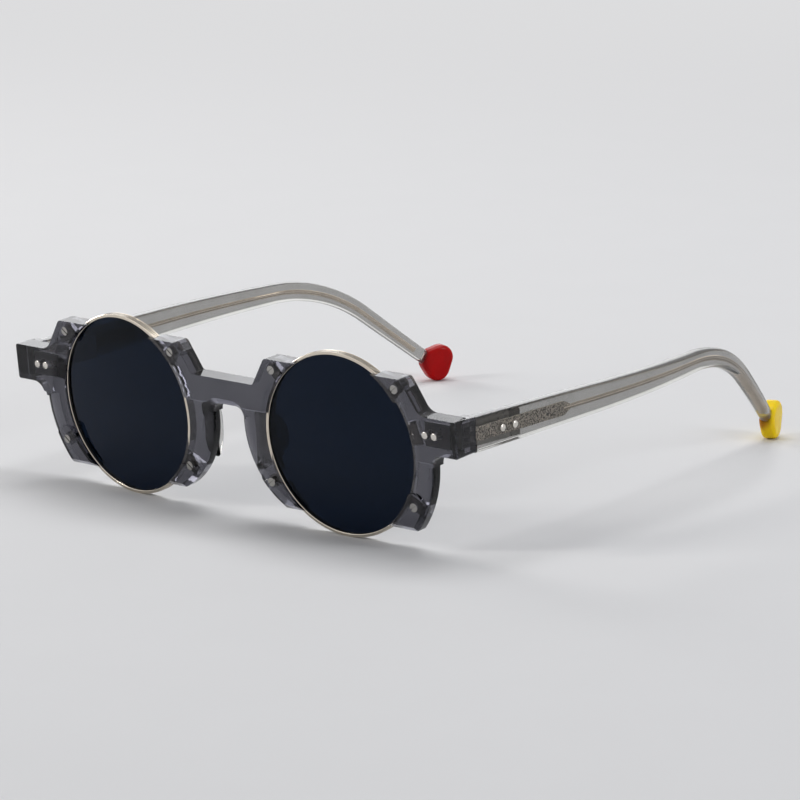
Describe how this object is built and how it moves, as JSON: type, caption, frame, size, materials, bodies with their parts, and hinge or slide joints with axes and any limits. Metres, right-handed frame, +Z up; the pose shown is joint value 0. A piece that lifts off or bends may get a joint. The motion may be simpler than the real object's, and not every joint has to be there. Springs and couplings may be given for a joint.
{
  "type": "sunglasses",
  "caption": "Round sunglasses: smoke acetate claws clasp milled metal rims, and cored clear temples with coloured tips fold on barrel hinges.",
  "frame": {"origin": "on the surface that the open glasses lie on, under the middle of their bounding box", "axes": "+X to the wearer's left, -Y where the wearer looks, +Z up, with the rims and the temple tips on z = 0"},
  "size_m": [0.152, 0.1504, 0.0466],
  "materials": {
    "smoke_acetate": "polished, translucent smoke",
    "clear_acetate": "polished, clear",
    "champagne_metal": "pale gold plated, milled",
    "steel": "polished",
    "lens": "very dark blue-grey",
    "yellow_tip": "polished, opaque yellow",
    "red_tip": "polished, opaque red"
  },
  "bodies": {
    "front": {"bridge": "smoke_acetate", "end_piece_left": "smoke_acetate", "end_piece_right": "smoke_acetate", "rim_left": "champagne_metal", "rim_right": "champagne_metal", "rim_lugs_left": "champagne_metal", "rim_lugs_right": "champagne_metal", "closing_block_left": "champagne_metal", "closing_block_right": "champagne_metal", "closing_screw_left": "steel", "closing_screw_right": "steel", "lens_left": "lens", "lens_right": "lens", "nose_pad_left": "clear_acetate", "nose_pad_right": "clear_acetate", "claw_screws_left": "steel", "claw_screws_right": "steel", "front_hinge_left": "steel", "front_hinge_right": "steel", "front_rivets_left": "champagne_metal", "front_rivets_right": "champagne_metal", "hinge_screw_left": "steel", "hinge_screw_right": "steel"},
    "arm_left": {"temple_left": "clear_acetate", "core_wire_left": "champagne_metal", "temple_hinge_left": "steel", "temple_rivets_left": "champagne_metal", "tip_left": "yellow_tip"},
    "arm_right": {"temple_right": "clear_acetate", "core_wire_right": "champagne_metal", "temple_hinge_right": "steel", "temple_rivets_right": "champagne_metal", "tip_right": "red_tip"}
  },
  "joints": [
    {"name": "fold_left", "type": "hinge", "parent": "front", "child": "arm_left", "pos_m": [0.069, -0.06551, 0.02974], "axis": [0, 0, 1], "range_deg": [0, 84]},
    {"name": "fold_right", "type": "hinge", "parent": "front", "child": "arm_right", "pos_m": [-0.069, -0.06551, 0.02974], "axis": [0, 0, -1], "range_deg": [0, 75]}
  ]
}
